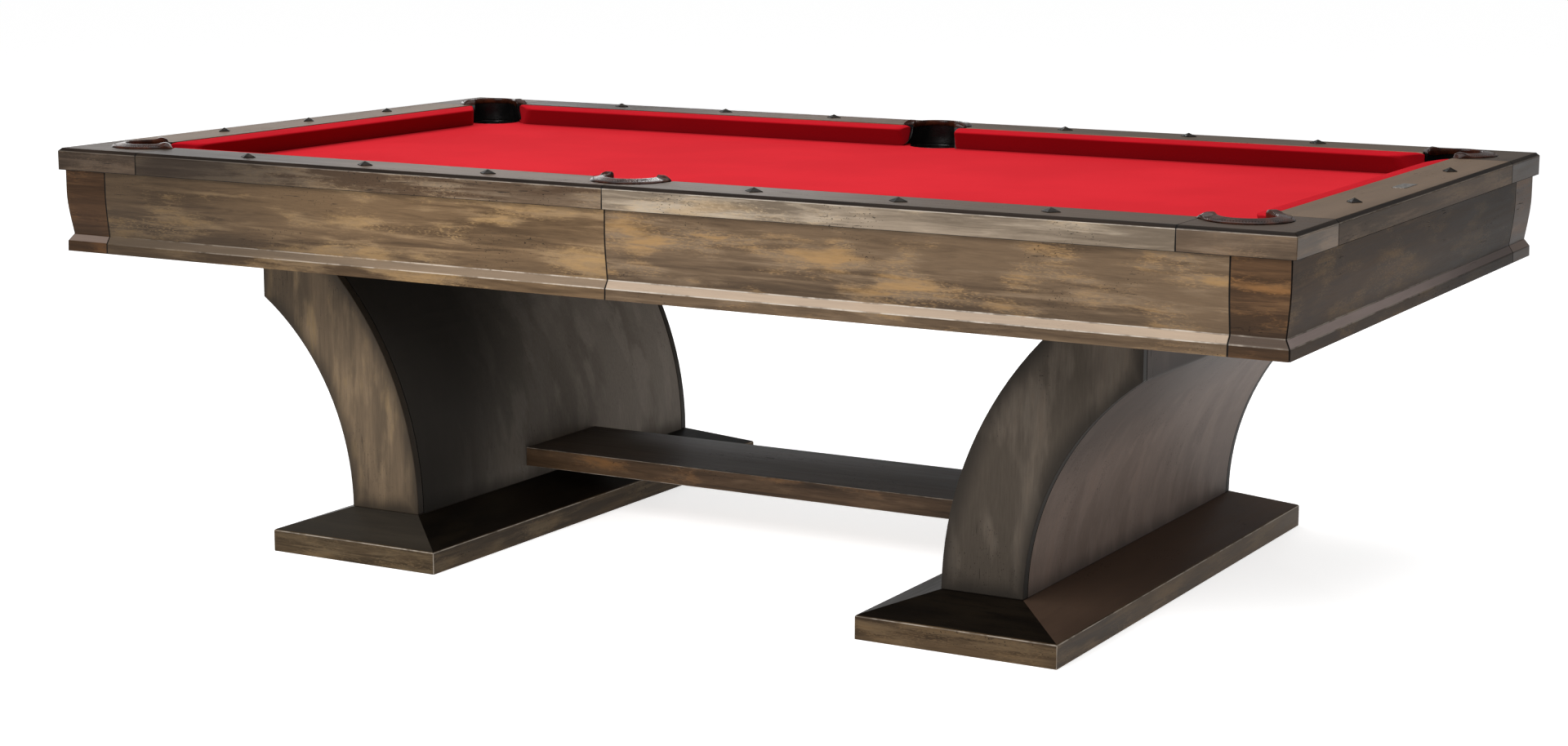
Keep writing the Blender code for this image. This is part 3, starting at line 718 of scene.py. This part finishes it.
def lay_round(kind, paints, seam_x, seams_y, lay):
    """The boards of one kind round the table: two on each long side, four corners and one on each end.
    The front right corner is stained lighter than the other three."""
    for face, side, sx, _ in CORNERS:
        lay(f"{kind}_{face}_{side}", f"{kind}_{side}_brown", grain_along(0), [(0, 0.0), (0, sx * seam_x)])
        tone = "brown" if (face, side) == ("front", "right") else "dark"
        seams = [(0, sx * seam_x), *seams_y]
        lay(f"{kind}_corner_{face}_{side}", f"{paints['corner']}_{tone}", grain_round_corner, seams)
    for side in SIDES:
        lay(f"{kind}_{side}_end", paints["end"], grain_along(1), seams_y)


def make_rails(woods, chamfer):
    low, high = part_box("rail_front_right")
    seam_x, bottom = high.x, low.z
    seam_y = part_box("rail_right_end")[1].y

    def square_foot(shape):
        """Turns the rounding at the foot of a rail into a corner, which is then eased like the others."""
        for vert in shape.verts:
            if vert.co.z > bottom + 4 * MM:
                continue
            vert.co.z = bottom
            for axis, reach in ((0, TABLE_X), (1, TABLE_Y)):
                if abs(vert.co[axis]) > reach - 5 * MM:
                    vert.co[axis] = copysign(reach, vert.co[axis])
        flatten(shape)

    def rail(node, paint, grain, seams):
        # The dark line along the rail's foot is its joint with the apron and a painted shadow under the
        # overhang.
        board(
            node, [woods[paint], chamfer], "rail_wood", grain, seams,
            dark=lambda point: point.z < bottom + MM, wear_and_highlight=under_chamfer, rings=(RIM,),
            prepare=square_foot, trim_face=on_chamfer,
        )

    paints = {"corner": "corner_block", "end": "end_rail_brown"}
    lay_round("rail", paints, seam_x, [(1, -seam_y), (1, seam_y)], rail)


def make_aprons(woods):
    low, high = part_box("apron_front_right")
    seam_x, foot = high.x, low.z
    seam_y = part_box("apron_right_end")[1].y
    corner_reach = 32 * MM

    def on_foot_moulding(point):
        return foot + 5 * MM < point.z < foot + 50 * MM

    def at_corner(point):
        outermost = abs(point.x) > TABLE_X - corner_reach and abs(point.y) > TABLE_Y - corner_reach
        return outermost and point.z > foot + 2 * MM

    def apron(node, paint, grain, seams):
        board(node, [woods[paint]], "apron_wood", grain, seams, at_corner, on_foot_moulding)

    paints = {"corner": "apron_corner", "end": "apron_end_brown"}
    lay_round("apron", paints, seam_x, [(1, seam_y)], apron)


def make_legs(woods):
    upright = grain_along(2)
    for side in SIDES:
        for face in FACES:
            cheek = woods[f"{side}_cheek_brown"]
            board(f"{side}_leg_{face}_cheek", [cheek], "leg_wood", upright, ease=1.5 * MM, step=0.022)
        for name in ("inner", "outer"):
            node = f"{side}_leg_{name}_panel"
            seams = [(1, corner.y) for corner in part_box(node)]
            board(node, [woods[f"leg_{name}_dark"]], "leg_wood", upright, seams, ease=1.8 * MM)


def make_feet(woods):
    for side in SIDES:
        low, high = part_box("foot_" + side)

        def on_outline(point):
            ends = min(abs(point[axis] - end[axis]) for axis in (0, 1) for end in (low, high))
            return ends < MM and point.z > low.z + 2 * MM

        board(
            f"foot_{side}", [woods[f"foot_{side}_brown"]], "foot_wood", grain_round_corner, wear_and_highlight=on_outline,
            eased=radians(45), smooth=radians(4), rings=(RIM,),
        )
    board("stretcher", [woods["stretcher_brown"]], "foot_wood", grain_along(0), step=0.026)


# ---- cloth


def make_bed(paint):
    """The bed cloth: one sheet drawn tight over the slates, rolled over at the pocket cuts."""
    shape = joined("bed_cloth")
    rim = [e for e in shape.edges if all(abs(v.co.z - CLOTH_TOP) < 0.1 * MM for v in e.verts)]
    round_over(shape, rim, 0.3 * MM)
    slice_up(shape, 0.06)
    area = sum(face.calc_area() for face in shape.faces) / 2
    sheet = place("bed_cloth_sheet", shape, [paint], "bed_cloth", ["bed_cloth"])


def cushion_section():
    """(distance out from the nose, z) round a cushion: crowned top, round nose and raked underside."""
    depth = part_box("cushion_right_end")[1].x - NOSE_X
    nose_z = BED_TOP + 36.5 * MM
    back_z = RAIL_TOP - 0.7 * MM
    bottom = CLOTH_TOP + 0.4 * MM
    radius = 3.2 * MM
    section = []
    for i in range(9):
        share = i / 8
        out = depth + (radius * 1.2 - depth) * share
        chord = back_z + (nose_z + radius * 1.05 - back_z) * share**1.15
        tuck = 1.6 * MM * max(0.0, 1 - share * 8)
        section.append((out, chord + 0.9 * MM * sin(pi * share) - tuck))
    for i in range(1, 8):
        angle = radians(75 + 165 * i / 8)
        section.append((radius + radius * cos(angle), nose_z + radius * sin(angle)))
    under_nose = nose_z - 3 * MM
    for share in (0.3, 0.65, 1.0):
        section.append((2.6 * MM + 0.4 * depth * share, under_nose - (under_nose - bottom) * share))
    section.append((depth, bottom))
    return section


def cushion(node, to_world, tips, facings, paint):
    """One cushion between two cut ends. to_world places (along, out, z)."""
    section = cushion_section()
    depth = max(out for out, z in section)
    bottom, top = min(z for out, z in section), max(z for out, z in section)
    turn, steps = 11 * MM, 7
    rings = []
    for way, tip, facing, order in zip((-1, 1), tips, facings, (range(steps + 1), range(steps, -1, -1))):
        for i in order:
            angle = pi / 2 * i / steps
            inset, drawn = turn * (1 - cos(angle)), turn * (1 - sin(angle))
            ring = []
            for out, z in section:
                back = out + drawn * (1 - out / depth)
                lowered = z - 0.35 * drawn * (z - bottom) / (top - bottom)
                ring.append(to_world(tip + way * (back / tan(facing) - inset), back, lowered))
            rings.append(ring)
    shape = swept(rings)
    slice_up(shape, 0.05)
    made = place("cloth_" + node, shape, [paint], "cushion_cloth", [node], radians(60), weighted=True)


def make_cushions(paint):
    """Six rubber cushions covered in cloth, cut back from their nose tips at the pockets."""
    corner_facing, side_facing = radians(38), radians(76)
    low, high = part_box("cushion_front_right")
    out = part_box("cushion_right_end")[1].x - NOSE_X
    near_tip = low.x + out / tan(side_facing)
    far_tip = high.x - out / tan(corner_facing)
    for face, side, sx, sy in CORNERS:

        def to_world(along, away, z):
            return (sx * along, sy * (NOSE_Y + away), z)

        facings = (side_facing, corner_facing)
        cushion(f"cushion_{face}_{side}", to_world, (near_tip, far_tip), facings, paint)
    end_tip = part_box("cushion_right_end")[1].y - out / tan(corner_facing)
    for side, sx in SIDES.items():

        def to_world(along, away, z):
            return (sx * (NOSE_X + away), along, z)

        cushion(f"cushion_{side}_end", to_world, (-end_tip, end_tip), (corner_facing, corner_facing), paint)


# ---- pockets


def pocket_frame(name):
    """Centre, outward direction and arm length of a pocket, from its boot and its iron."""
    low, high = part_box("pocket_boot_" + name)
    centre = Vector(((low.x + high.x) / 2, (low.y + high.y) / 2, 0))
    if name.endswith("middle"):
        out = Vector((0, copysign(1, centre.y), 0))
        low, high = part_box("pocket_iron_" + name)
        reach = abs(high.y - centre.y) if centre.y < 0 else abs(low.y - centre.y)
        return centre, out, reach
    out = Vector((copysign(1, centre.x), copysign(1, centre.y), 0)).normalized()
    return centre, out, CORNER_ARM


def horseshoe(centre, out, arm, arm_steps, steps=40):
    """(point, outward direction) down one arm, round the back and up the other arm."""
    across = Vector((-out.y, out.x, 0))
    down = [centre - out * (arm * (1 - i / arm_steps)) for i in range(arm_steps)]
    round_back = []
    for i in range(steps + 1):
        angle = pi * i / steps
        round_back.append((centre, -across * cos(angle) + out * sin(angle)))
    return [(point, -across) for point in down] + round_back + [(point, across) for point in down[::-1]]


def pocket_bar(path, out, section_at):
    """A bar along the path. section_at gives (radius, z, drawn forward) for a share of the way along."""
    rings = []
    for i, (point, normal) in enumerate(path):
        section = section_at(i / (len(path) - 1))
        rings.append([(*(point + normal * radius - out * ahead).xy, z) for radius, z, ahead in section])
    return swept(rings)


def toe_swell(share):
    """How far along the swelling at the bar's ends a share of the way is: 1 at its height."""
    end = min(share, 1 - share)
    return exp(-(((end - 0.07) / 0.045) ** 2))


def end_round(share):
    """Shrinks a section towards nothing over the last stretch, as a quarter circle does."""
    end = min(share, 1 - share) / 0.035
    return sqrt(max(0.0, 1 - (1 - min(end, 1.0)) ** 2)) * 0.9 + 0.1


def casing_section(share):
    """A wall from the cover down to the cloth. Near the arms' ends its foot spreads and comes forward."""
    bottom = CLOTH_TOP + 0.4 * MM
    end = min(share, 1 - share)
    spread = 15 * MM * max(0.0, 1 - end / 0.28) ** 1.5
    ahead = 25 * MM * max(0.0, 1 - end / 0.14) ** 2
    points = []
    for up in (0, 3, 7, 12, 18, 26, 36):
        fade = exp(-up / 11)
        reach = spread * fade + 1.6 * MM * min(1.0, up / 14) - 0.8 * MM
        points.append((COVER_INNER + reach, bottom + up * MM, ahead * fade))
    points.append((COVER_INNER + 0.9 * MM, IRON_TOP - 11 * MM, 0))
    points.append((COVER_OUTER + 0.1 * MM, IRON_TOP - 11.5 * MM, 0))
    points.append((COVER_OUTER + 0.1 * MM, bottom, 0))
    return points


# (across, up) round the leather cover, from its outer foot over its crown to its inner foot.
COVER_PROFILE = (
    (1.0, 0.0), (1.03, 0.12), (0.97, 0.3), (0.82, 0.44), (0.6, 0.52), (0.3, 0.6), (0.0, 0.7), (-0.3, 0.84),
    (-0.55, 0.95), (-0.75, 1.0), (-0.9, 0.96), (-0.99, 0.8), (-1.03, 0.5), (-1.03, 0.0), (-0.99, -0.5),
    (-0.92, -0.62),
)


def cover_section(share):
    """The leather cover, which swells at its toes and closes in at its ends."""
    swell = toe_swell(share)
    shrink = end_round(share)
    broad = 0.72 + 0.28 * shrink
    middle = (COVER_INNER + COVER_OUTER) / 2 - 1 * MM
    half = (COVER_OUTER - COVER_INNER) / 2
    base = RAIL_TOP + 0.2 * MM
    height = (IRON_TOP - base) * (0.68 + 0.32 * swell)
    points = []
    for across, up in COVER_PROFILE:
        lift = up + swell * 0.35 * max(0.0, 1 - across**2) * (up > 0)
        points.append((middle + half * across * broad, base + height * min(lift, 1.0) * shrink, 0))
    points.append((middle - half * 0.8 * broad, base - 0.4 * height * shrink, 0))
    points.append((middle + half * 0.9 * broad, base - 0.2 * MM, 0))
    return points


def make_pockets(rim_paint, black_paint, thread_paint):
    """Each pocket: a black casing down to the cloth, a brown leather cover with swollen toes on top of it,
    a line of stitches, a collar under the cloth's edge and a black leather boot."""
    for name in POCKETS:
        centre, out, arm = pocket_frame(name)
        path = horseshoe(centre, out, arm, 8)
        shape = pocket_bar(path, out, casing_section)
        place("pocket_casing_" + name, shape, [black_paint], "boot_leather")
        shape = pocket_bar(horseshoe(centre, out, arm - 0.3 * MM, 12), out, cover_section)
        iron = "pocket_iron_" + name
        place("pocket_iron_cover_" + name, shape, [rim_paint], "pocket_leather", [iron])
        make_stitches(name, path, thread_paint)
        make_collar(name, centre, black_paint)
        make_boot(name, centre, black_paint)


def round_row(shape, centre, radius, z, steps=48):
    """New points round a centre. radius is a number, or gives one for an angle."""
    row = []
    for i in range(steps):
        angle = tau * i / steps
        reach = radius(angle) if callable(radius) else radius
        row.append(shape.verts.new((centre.x + reach * cos(angle), centre.y + reach * sin(angle), z)))
    return row


def make_collar(name, centre, paint):
    """The leather flange that closes the gap between the boot and the slate."""
    top = CLOTH_TOP - 1.4 * MM
    section = (
        (-1.2, -4.0), (8.2, -4.0), (8.2, -1.2), (7.6, -0.3), (6.4, 0.0), (0.6, 0.0), (-0.9, -0.5),
        (-1.2, -1.5),
    )
    shape = bmesh.new()
    rows = [round_row(shape, centre, BOOT_RADIUS + out * MM, top + up * MM) for out, up in section]
    skin(shape, rows + rows[:1])
    place("pocket_collar_" + name, shape, [paint], "boot_leather")


def make_stitches(name, path, paint):
    """Short raised stitches round the outer edge of the leather cover."""
    radius = COVER_OUTER - 5.5 * MM
    pitch = 5 * MM
    line = [point + normal * radius for point, normal in path]
    spaced = []
    carried = 0.0
    for first, last in zip(line, line[1:]):
        length = (last - first).length
        while carried <= length:
            spaced.append((first + (last - first) * (carried / length), (last - first).normalized()))
            carried += pitch
        carried -= length
    shape = bmesh.new()
    size = Matrix.Diagonal((1.7 * MM, 0.5 * MM, 0.5 * MM, 1))
    for point, along in spaced[3:-3]:
        across = Vector((-along.y, along.x, 0))
        turn = Matrix((along, across, Vector((0, 0, 1)))).transposed().to_4x4()
        turn.translation = Vector((point.x, point.y, RAIL_TOP + 5.1 * MM))
        bead = bmesh.ops.create_uvsphere(shape, u_segments=8, v_segments=5, radius=1.0)
        bmesh.ops.transform(shape, matrix=turn @ size, verts=bead["verts"])
    place("pocket_stitches_" + name, shape, [paint], "pocket_leather", smooth=radians(80))


def make_boot(name, centre, paint):
    """A moulded leather cup that hangs under the pocket, with a rolled rim and a sewn side seam."""
    low, high = BOOT_LOW.z, BOOT_HIGH.z
    height = high - low
    wall = 3 * MM
    outline = (
        (0.0, 0.0), (0.5, 0.0), (0.76, 0.02), (0.9, 0.07), (0.965, 0.16), (0.985, 0.3), (0.97, 0.5),
        (0.965, 0.7), (0.975, 0.86), (0.99, 0.93), (1.0, 0.96), (1.0, 0.985), (0.985, 1.0),
    )
    outside = [(share * BOOT_RADIUS, low + up * height) for share, up in outline]
    inside = []
    for (radius, z), (_, up) in zip(outside, outline):
        inside.append((max(radius - wall, 0.0), z + (wall if up < 0.1 else 0.0)))
    shape = bmesh.new()
    rows = []
    for radius, z in outside + inside[::-1][1:]:
        if radius == 0:
            rows.append([shape.verts.new((centre.x, centre.y, z))])
            continue

        def reach(angle):
            seam = 0.8 * MM * exp(-((((angle + pi) % tau - pi) / 0.06) ** 2))
            waves = 0.006 * sin(5 * angle + z * 60) if z < high - 0.1 * height else 0.0
            return min(radius * (1 + waves) + seam * (z < high - 0.06 * height), BOOT_RADIUS)

        rows.append(round_row(shape, centre, reach, z))
    skin(shape, rows)
    boot = "pocket_boot_" + name
    place("leather_boot_" + name, shape, [paint], "boot_leather", [boot], smooth=radians(60))


# ---- sights and plate


def make_sight(name, centre, along, paint):
    """A low four-sided pyramid on a thin base, with its long diagonal along the rail."""
    across = Vector((-along.y, along.x, 0))
    shape = bmesh.new()
    long_half, short_half = 17.5 * MM, 14 * MM
    rows = []
    for share, z in ((1.0, 0.0), (1.0, 1.2), (0.9, 2.0)):
        row = []
        for u, v in ((1, 0), (0, 1), (-1, 0), (0, -1)):
            point = centre + along * (u * long_half * share) + across * (v * short_half * share)
            row.append(shape.verts.new((point.x, point.y, RAIL_TOP + z * MM)))
        rows.append(row)
    tip = shape.verts.new((centre.x, centre.y, RAIL_TOP + 8 * MM))
    shape.faces.new(rows[0])
    skin(shape, rows + [[tip]])
    round_over(shape, [edge for edge in shape.edges if tip in edge.verts], 0.5 * MM)
    place("sight_" + name, shape, [paint], None, smooth=radians(30), weighted=True)


def make_sights(bronze, nickel):
    """Sights at the eighths of the playing length. The right end's middle one gives way to the plate."""
    eighth = NOSE_X / 4
    inset = 53 * MM
    for face, side, sx, sy in CORNERS:
        for count in (1, 2, 3):
            centre = Vector((sx * count * eighth, sy * (TABLE_Y - inset), 0))
            make_sight(f"{face}_{side}_{count}", centre, Vector((1, 0, 0)), bronze)
    for side, sx in SIDES.items():
        for count in (-1, 0, 1):
            if side == "right" and count == 0:
                continue
            centre = Vector((sx * (TABLE_X - inset), count * eighth, 0))
            make_sight(f"{side}_end_{count + 2}", centre, Vector((0, 1, 0)), bronze)
    make_plate(Vector((TABLE_X - inset, 0, 0)), nickel)


def make_plate(centre, paint):
    """A blank plate let into the end rail, with rounded corners and two pins."""
    half_x, half_y, radius, thick = 13 * MM, 36 * MM, 3 * MM, 0.8 * MM
    outline = []
    for quarter, (sx, sy) in enumerate(((1, 1), (-1, 1), (-1, -1), (1, -1))):
        for i in range(6):
            angle = pi / 2 * (quarter + i / 5)
            x = centre.x + sx * (half_x - radius) + radius * cos(angle)
            y = centre.y + sy * (half_y - radius) + radius * sin(angle)
            outline.append((x, y))
    shape = swept([[(x, y, RAIL_TOP + z) for x, y in outline] for z in (-0.4 * MM, thick)])
    rim = [edge for edge in shape.edges if all(vert.co.z > RAIL_TOP + 0.5 * thick for vert in edge.verts)]
    round_over(shape, rim, 0.3 * MM)
    size = Matrix.Diagonal((1.8 * MM, 1.8 * MM, 0.6 * MM, 1))
    for sy in (-1, 1):
        pin = bmesh.ops.create_uvsphere(shape, u_segments=16, v_segments=8, radius=1.0)
        spot = Matrix.Translation((centre.x, centre.y + sy * (half_y - 6 * MM), RAIL_TOP + thick))
        bmesh.ops.transform(shape, matrix=spot @ size, verts=pin["verts"])
    place("blank_plate", shape, [paint], None, weighted=True)


# ---- carried-over CAD nodes


def repaint(node, material, ease):
    """Gives a carried-over CAD node its finish, and eases its edges."""
    obj = NODES[node]
    obj.data.materials.clear()
    obj.data.materials.append(material)
    weld = obj.modifiers.new("joined", "WELD")
    weld.merge_threshold = WELD
    bevel = obj.modifiers.new("eased", "BEVEL")
    bevel.width = ease
    bevel.segments = 2
    bevel.limit_method = "ANGLE"
    bevel.angle_limit = radians(40)


def finish_hidden(pine, ply, slate, steel):
    repaint("cabinet_frame", pine, 1.5 * MM)
    for side in SIDES:
        repaint("leg_cradle_" + side, ply, 1.5 * MM)
        for face in FACES:
            repaint(f"leveller_{side}_{face}", steel, 0.4 * MM)
    for part in ("left", "middle", "right"):
        repaint("slate_" + part, slate, 0.8 * MM)


# ---- stage


def make_floor():
    """A wide pale floor, which glows a little so that it stays white to its far edge."""
    shape = bmesh.new()
    bmesh.ops.create_grid(shape, x_segments=12, y_segments=12, size=45.0)
    mesh = bpy.data.meshes.new("floor")
    shape.to_mesh(mesh)
    shape.free()
    floor = stand("floor", mesh)
    paint = Paint("floor_white", Roughness=0.9, Specular_IOR_Level=0.1)
    paint.set("Base Color", (0.9, 0.9, 0.9, 1.0))
    paint.set("Emission Color", (1.0, 1.0, 1.0, 1.0))
    paint.set("Emission Strength", 0.72)
    mesh.materials.append(paint.material)


def soft_light(name, place_at, aim, size, power):
    data = bpy.data.lights.new(name, "AREA")
    data.shape = "RECTANGLE"
    data.size, data.size_y = size
    data.energy = power
    light = stand(name, data)
    light.location = place_at
    light.rotation_euler = (Vector(aim) - Vector(place_at)).to_track_quat("-Z", "Y").to_euler()


def light_scene():
    world = bpy.data.worlds.new("studio")
    world.use_nodes = True
    sky = world.node_tree.nodes["Background"]
    sky.inputs["Color"].default_value = (1.0, 1.0, 1.0, 1.0)
    sky.inputs["Strength"].default_value = 0.3
    bpy.context.scene.world = world
    soft_light("overhead", (0.1, 0.6, 4.2), (0.0, 0.1, 0.7), (5.0, 3.5), 105)
    soft_light("front_key", (-0.9, -4.9, 3.8), (-0.1, -0.3, 0.6), (4.4, 2.4), 280)
    soft_light("far_sheen", (-7.0, 5.6, 2.2), (-0.8, 0.0, 0.8), (5.0, 2.6), 60)
    soft_light("glint", (-2.6, 4.2, 2.9), (0.0, 0.0, 0.8), (0.7, 0.35), 12)


def make_camera():
    """The camera stands to the front right, above the rails, and looks down by about ten degrees."""
    yaw, pitch, roll = radians(-29.264), radians(-10.254), radians(0.189)
    forward = Vector((sin(yaw) * cos(pitch), cos(yaw) * cos(pitch), sin(pitch)))
    level = Vector((cos(yaw), -sin(yaw), 0))
    upright = level.cross(forward)
    right = level * cos(roll) + upright * sin(roll)
    up = upright * cos(roll) - level * sin(roll)
    data = bpy.data.cameras.new("camera")
    data.sensor_width = 36.0
    data.lens = 65.09
    data.clip_end = 200.0
    camera = stand("camera", data)
    pose = Matrix((right, up, -forward)).transposed().to_4x4()
    pose.translation = Vector((2.707, -4.8888, 1.3501))
    camera.matrix_world = pose
    bpy.context.scene.camera = camera


def main():
    bpy.context.scene.view_settings.view_transform = "Standard"
    woods = {name: wood(name, **look) for name, look in WOODS.items()}
    make_rails(woods, edge_wood("rail_chamfer", (0.009, 0.006, 0.0045), (0.02, 0.013, 0.009)))
    make_aprons(woods)
    make_legs(woods)
    make_feet(woods)
    make_bed(cloth("bed_cloth_red", (0.585, 0.018, 0.027), (0.53, 0.0155, 0.0235)))
    # The cushion cloth is a darker copy of the bed cloth: painted shade.
    make_cushions(cloth("cushion_cloth_red", (0.46, 0.008, 0.016), (0.41, 0.007, 0.014), under=0.62))
    make_pockets(
        leather("iron_leather_brown", (0.012, 0.0035, 0.002), (0.062, 0.016, 0.006), 0.17, 0.12),
        leather("boot_leather_black", (0.003, 0.003, 0.003), (0.006, 0.0055, 0.005), 0.2, 0.0),
        leather("pocket_thread", (0.015, 0.008, 0.005), (0.05, 0.025, 0.014), 0.5, 0.0),
    )
    make_sights(
        metal("sight_bronze", (0.03, 0.024, 0.02), 0.42, (0.01, 0.009, 0.008)),
        metal("plate_nickel", (0.3, 0.28, 0.26), 0.45, (0.14, 0.13, 0.12)),
    )
    finish_hidden(
        plain_wood("frame_pine", (0.3, 0.19, 0.1), (0.48, 0.35, 0.2)),
        plain_wood("cradle_ply", (0.22, 0.14, 0.08), (0.36, 0.25, 0.15)),
        stone("slate_grey"),
        metal("leveller_zinc", (0.55, 0.55, 0.56), 0.4, (0.32, 0.32, 0.33)),
    )
    make_floor()
    light_scene()
    make_camera()


main()
